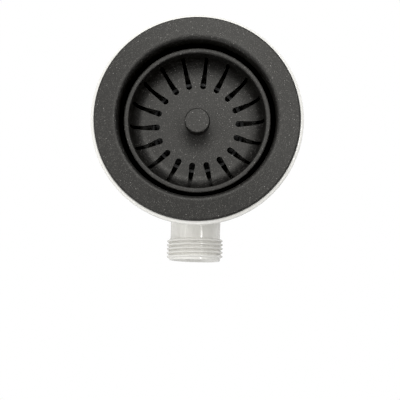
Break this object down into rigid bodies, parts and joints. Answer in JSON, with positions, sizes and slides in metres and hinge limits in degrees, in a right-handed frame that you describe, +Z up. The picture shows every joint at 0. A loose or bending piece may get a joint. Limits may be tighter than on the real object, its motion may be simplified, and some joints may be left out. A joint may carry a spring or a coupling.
{
  "type": "basket strainer sink waste",
  "caption": "Kitchen sink waste with a coated flange and bowl, a slotted lift-out basket that doubles as the plug, and a white body with a threaded overflow inlet and outlet.",
  "frame": {"origin": "on the waste's axis, in the plane of the sink's top surface where the flange's edge rests", "axes": "+Z up out of the drain along the waste's axis, -Y along the overflow inlet, +X completes the right-handed set"},
  "size_m": [0.118, 0.135, 0.1056],
  "materials": {
    "granite_coat": "charcoal granite-effect coating with fine pale flecks, satin",
    "white_plastic": "white moulded plastic, semi-gloss",
    "black_rubber": "black moulded rubber, matt",
    "steel": "stainless steel, turned",
    "brass": "plain brass",
    "grey_plastic": "grey moulded plastic, matt"
  },
  "bodies": {
    "waste": {"flange": "granite_coat", "flange_gasket": "black_rubber", "body_gasket": "black_rubber", "clamp_bolt": "steel", "bolt_washer": "grey_plastic", "threaded_insert": "brass", "waste_body": "white_plastic"},
    "catch": {"catch_ring": "black_rubber"},
    "basket": {"strainer_basket": "granite_coat", "basket_knob": "granite_coat", "basket_pin": "steel", "spacer_disc": "grey_plastic", "stopper_seal": "black_rubber", "seal_washer": "steel", "pin_nut": "steel"}
  },
  "joints": [
    {"name": "basket_lift", "type": "slide", "parent": "waste", "child": "catch", "axis": [0, 0, 1], "range_m": [0, 0.056]},
    {"name": "basket_turn", "type": "hinge", "parent": "catch", "child": "basket", "pos_m": [0, 0, -0.0495], "axis": [0, 0, 1], "continuous": true}
  ]
}
